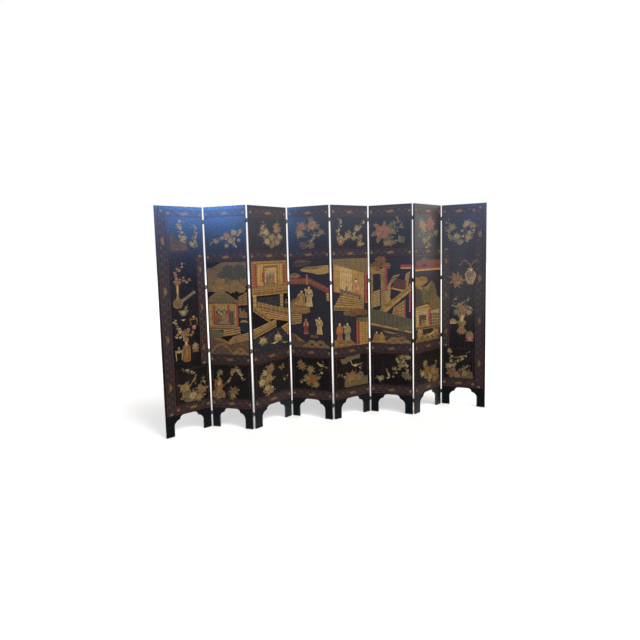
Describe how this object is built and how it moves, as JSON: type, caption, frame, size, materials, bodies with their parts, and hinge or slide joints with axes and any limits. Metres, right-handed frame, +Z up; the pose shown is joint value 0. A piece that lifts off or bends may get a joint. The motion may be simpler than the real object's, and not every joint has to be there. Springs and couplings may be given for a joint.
{
  "type": "folding room divider screen",
  "caption": "Free-standing folding screen of tall painted lacquer boards on arched feet, joined edge to edge by loose-pin hinges and standing in a zigzag.",
  "frame": {"origin": "middle of the footprint of the standing zigzag, at floor level", "axes": "+Z up; the painted fronts face -Y; the line from the left edge of panel 1 to the right edge of panel 8 runs along +X"},
  "size_m": [3.222, 0.2218, 2.134],
  "materials": {
    "black_lacquer": "solid wood board coated in aged black lacquer, gloss to satin, with a carved and painted front",
    "hinge_brass": "dark patinated brass plate",
    "pin_brass": "dark patinated brass rod, rubbed bright on the head",
    "screw_brass": "patinated brass, slotted"
  },
  "bodies": {
    "panel_1": {"panel_1": "black_lacquer", "hinge_1_fork_plates": "hinge_brass", "hinge_1_pins": "pin_brass", "hinge_1_fork_screws": "screw_brass"},
    "panel_2": {"panel_2": "black_lacquer", "hinge_1_eye_plates": "hinge_brass", "hinge_1_eye_screws": "screw_brass", "hinge_2_fork_plates": "hinge_brass", "hinge_2_pins": "pin_brass", "hinge_2_fork_screws": "screw_brass"},
    "panel_3": {"panel_3": "black_lacquer", "hinge_2_eye_plates": "hinge_brass", "hinge_2_eye_screws": "screw_brass", "hinge_3_fork_plates": "hinge_brass", "hinge_3_pins": "pin_brass", "hinge_3_fork_screws": "screw_brass"},
    "panel_4": {"panel_4": "black_lacquer", "hinge_3_eye_plates": "hinge_brass", "hinge_3_eye_screws": "screw_brass", "hinge_4_fork_plates": "hinge_brass", "hinge_4_pins": "pin_brass", "hinge_4_fork_screws": "screw_brass"},
    "panel_5": {"panel_5": "black_lacquer", "hinge_4_eye_plates": "hinge_brass", "hinge_4_eye_screws": "screw_brass", "hinge_5_fork_plates": "hinge_brass", "hinge_5_pins": "pin_brass", "hinge_5_fork_screws": "screw_brass"},
    "panel_6": {"panel_6": "black_lacquer", "hinge_5_eye_plates": "hinge_brass", "hinge_5_eye_screws": "screw_brass", "hinge_6_fork_plates": "hinge_brass", "hinge_6_pins": "pin_brass", "hinge_6_fork_screws": "screw_brass"},
    "panel_7": {"panel_7": "black_lacquer", "hinge_6_eye_plates": "hinge_brass", "hinge_6_eye_screws": "screw_brass", "hinge_7_fork_plates": "hinge_brass", "hinge_7_pins": "pin_brass", "hinge_7_fork_screws": "screw_brass"},
    "panel_8": {"panel_8": "black_lacquer", "hinge_7_eye_plates": "hinge_brass", "hinge_7_eye_screws": "screw_brass"}
  },
  "joints": [
    {"name": "fold_1", "type": "hinge", "parent": "panel_2", "child": "panel_1", "pos_m": [-1.21195, 0.036, 1.067], "axis": [0, 0, 1], "range_deg": [-69, 141]},
    {"name": "fold_2", "type": "hinge", "parent": "panel_3", "child": "panel_2", "pos_m": [-0.80077, -0.07734, 1.067], "axis": [0, 0, -1], "range_deg": [-75, 135]},
    {"name": "fold_3", "type": "hinge", "parent": "panel_4", "child": "panel_3", "pos_m": [-0.41096, 0.09578, 1.067], "axis": [0, 0, 1], "range_deg": [-79, 131]},
    {"name": "fold_4", "type": "hinge", "parent": "panel_4", "child": "panel_5", "pos_m": [-0.00868, -0.04596, 1.067], "axis": [0, 0, 1], "range_deg": [-66, 144]},
    {"name": "fold_5", "type": "hinge", "parent": "panel_5", "child": "panel_6", "pos_m": [0.41007, 0.03502, 1.067], "axis": [0, 0, -1], "range_deg": [-64, 146]},
    {"name": "fold_6", "type": "hinge", "parent": "panel_6", "child": "panel_7", "pos_m": [0.81705, -0.09259, 1.067], "axis": [0, 0, 1], "range_deg": [-73, 137]},
    {"name": "fold_7", "type": "hinge", "parent": "panel_7", "child": "panel_8", "pos_m": [1.21799, 0.05291, 1.067], "axis": [0, 0, -1], "range_deg": [-76, 134]}
  ]
}
